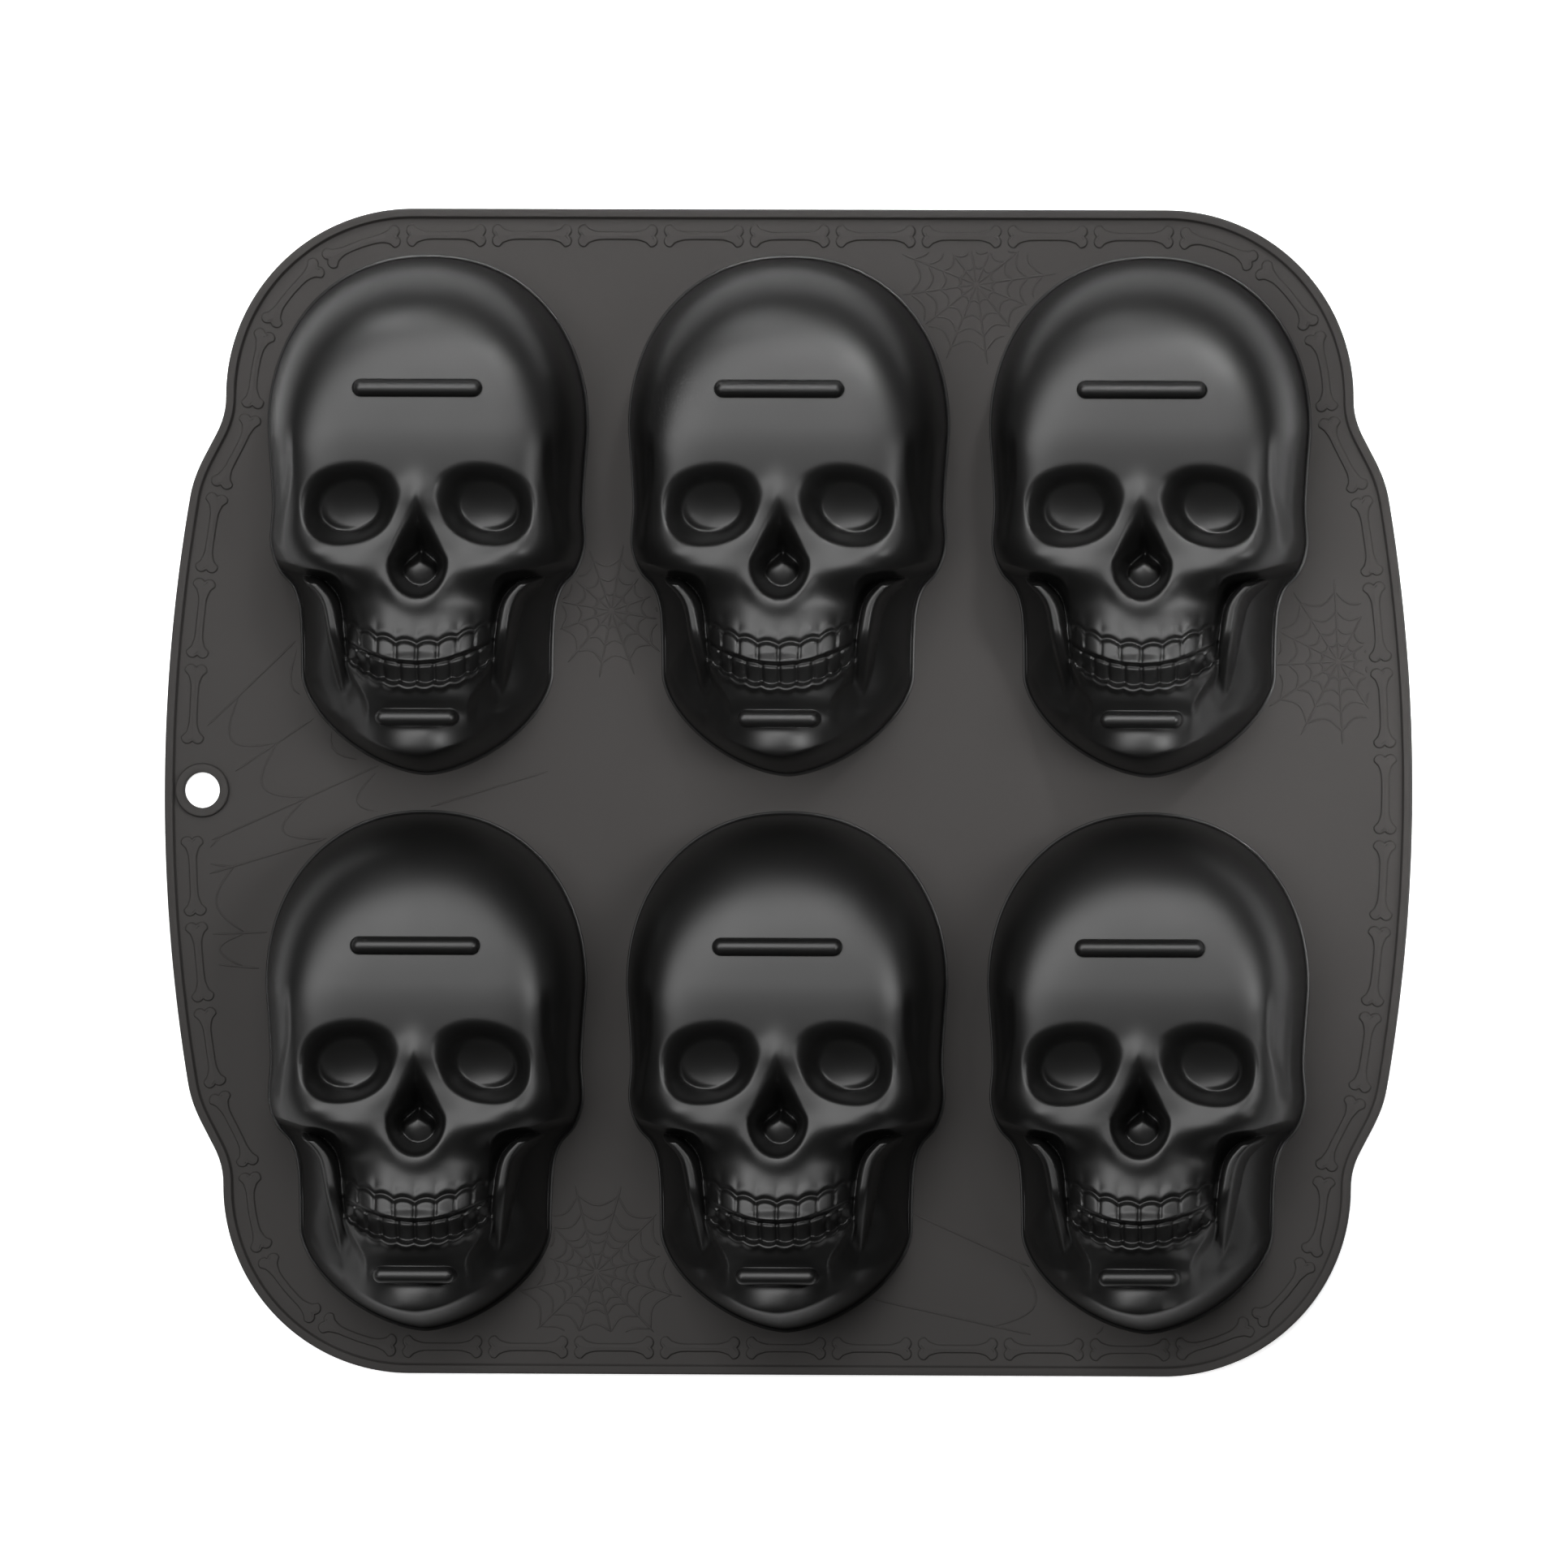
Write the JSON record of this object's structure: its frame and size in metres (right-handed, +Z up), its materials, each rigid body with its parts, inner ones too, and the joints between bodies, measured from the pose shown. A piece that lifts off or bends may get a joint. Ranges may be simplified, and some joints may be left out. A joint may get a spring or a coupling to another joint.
{
  "type": "silicone skull mould",
  "caption": "Flexible baking and ice mould: a rounded flanged tray with hollow human skull cups, foot ribs and a hanging hole.",
  "frame": {"origin": "centre of the tray on the flat face of its web, which is where the mould rests when it lies upside down", "axes": "+X along the longer side, +Y towards the crowns of the skulls, +Z up from the flat face through the cups"},
  "size_m": [0.295, 0.275, 0.038],
  "materials": {
    "web": "matte moulded silicone with a faint grain",
    "cup": "satin moulded silicone"
  },
  "bodies": {
    "root": {"web_plate": "web", "rim_bead": "web", "hanging_ring": "web", "skull_cup_1": "cup", "forehead_rib_1": "cup", "chin_rib_1": "cup", "skull_cup_2": "cup", "forehead_rib_2": "cup", "chin_rib_2": "cup", "skull_cup_3": "cup", "forehead_rib_3": "cup", "chin_rib_3": "cup", "skull_cup_4": "cup", "forehead_rib_4": "cup", "chin_rib_4": "cup", "skull_cup_5": "cup", "forehead_rib_5": "cup", "chin_rib_5": "cup", "skull_cup_6": "cup", "forehead_rib_6": "cup", "chin_rib_6": "cup"}
  },
  "joints": []
}
